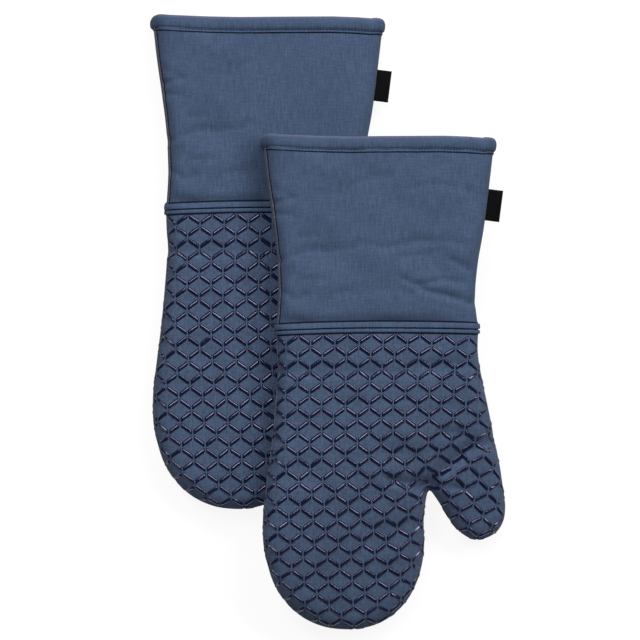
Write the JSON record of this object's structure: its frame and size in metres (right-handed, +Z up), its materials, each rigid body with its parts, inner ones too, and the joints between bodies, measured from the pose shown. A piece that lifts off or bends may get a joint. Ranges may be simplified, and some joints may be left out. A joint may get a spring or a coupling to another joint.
{
  "type": "pair of silicone oven mitts",
  "caption": "Two long-cuffed padded oven mitts, one lying across the other, with raised dark silicone bars on the hands and slate-blue cotton cuffs.",
  "frame": {"origin": "middle of the pair's plan, on the table that the lower mitt lies on", "axes": "+Z up, +Y from the fingertips towards the cuffs, +X towards the thumbs"},
  "size_m": [0.2538, 0.442, 0.0483],
  "materials": {
    "hand_cloth": "cotton twill with raised moulded silicone bars",
    "cuff_cloth": "brushed cotton twill",
    "silicone": "glossy moulded silicone",
    "wadding": "loose fibre",
    "lining": "plain cotton",
    "binding": "cotton twill, folded and sewn",
    "thread": "twisted sewing thread",
    "ribbon": "woven satin ribbon"
  },
  "bodies": {
    "lower_mitt": {"lower_hand_top_cloth": "hand_cloth", "lower_cuff_top_cloth": "cuff_cloth", "lower_hand_top_wadding": "wadding", "lower_cuff_top_wadding": "wadding", "lower_hand_top_lining": "lining", "lower_cuff_top_lining": "lining", "lower_hand_bottom_cloth": "hand_cloth", "lower_cuff_bottom_cloth": "cuff_cloth", "lower_hand_bottom_wadding": "wadding", "lower_cuff_bottom_wadding": "wadding", "lower_hand_bottom_lining": "lining", "lower_cuff_bottom_lining": "lining", "lower_welt_lower_fold": "binding", "lower_welt_upper_fold": "binding", "lower_mouth_binding": "binding"},
    "upper_mitt": {"upper_palm_top_cloth": "hand_cloth", "upper_cuff_top_cloth": "cuff_cloth", "upper_palm_top_wadding": "wadding", "upper_cuff_top_wadding": "wadding", "upper_palm_top_lining": "lining", "upper_cuff_top_lining": "lining", "upper_palm_bottom_cloth": "hand_cloth", "upper_cuff_bottom_cloth": "cuff_cloth", "upper_palm_bottom_wadding": "wadding", "upper_cuff_bottom_wadding": "wadding", "upper_palm_bottom_lining": "lining", "upper_cuff_bottom_lining": "lining", "upper_welt_lower_fold": "binding", "upper_welt_upper_fold": "binding", "upper_mouth_binding": "binding"},
    "upper_fingers": {"upper_fingers_top_cloth": "hand_cloth", "upper_fingers_top_wadding": "wadding", "upper_fingers_top_lining": "lining", "upper_fingers_bottom_cloth": "hand_cloth", "upper_fingers_bottom_wadding": "wadding", "upper_fingers_bottom_lining": "lining"},
    "upper_thumb": {"upper_thumb_top_cloth": "hand_cloth", "upper_thumb_top_wadding": "wadding", "upper_thumb_top_lining": "lining", "upper_thumb_bottom_cloth": "hand_cloth", "upper_thumb_bottom_wadding": "wadding", "upper_thumb_bottom_lining": "lining"},
    "lower_label": {"lower_label": "ribbon"},
    "upper_label": {"upper_label": "ribbon"}
  },
  "joints": [
    {"name": "lift", "type": "slide", "parent": "lower_mitt", "child": "upper_mitt", "axis": [0, 0, 1], "range_m": [0, 0.15]},
    {"name": "fingers_fold", "type": "hinge", "parent": "upper_mitt", "child": "upper_fingers", "pos_m": [0.0756, -0.13522, 0.03502], "axis": [-0.9904, 0, 0.1381], "range_deg": [0, 80]},
    {"name": "thumb_fold", "type": "hinge", "parent": "upper_mitt", "child": "upper_thumb", "pos_m": [0.11137, -0.01493, 0.04903], "axis": [-0.3231, -0.9391, -0.117], "range_deg": [0, 60]},
    {"name": "lower_label_bend", "type": "hinge", "parent": "lower_mitt", "child": "lower_label", "pos_m": [0.0351, 0.17076, 0.012], "axis": [0.1253, 0.9921, 0], "range_deg": [-70, 70], "stiffness_Nm_per_rad": 0.0003},
    {"name": "upper_label_bend", "type": "hinge", "parent": "upper_mitt", "child": "upper_label", "pos_m": [0.1147, 0.08396, 0.0363], "axis": [0.1253, 0.9921, 0], "range_deg": [-70, 70], "stiffness_Nm_per_rad": 0.0003}
  ]
}
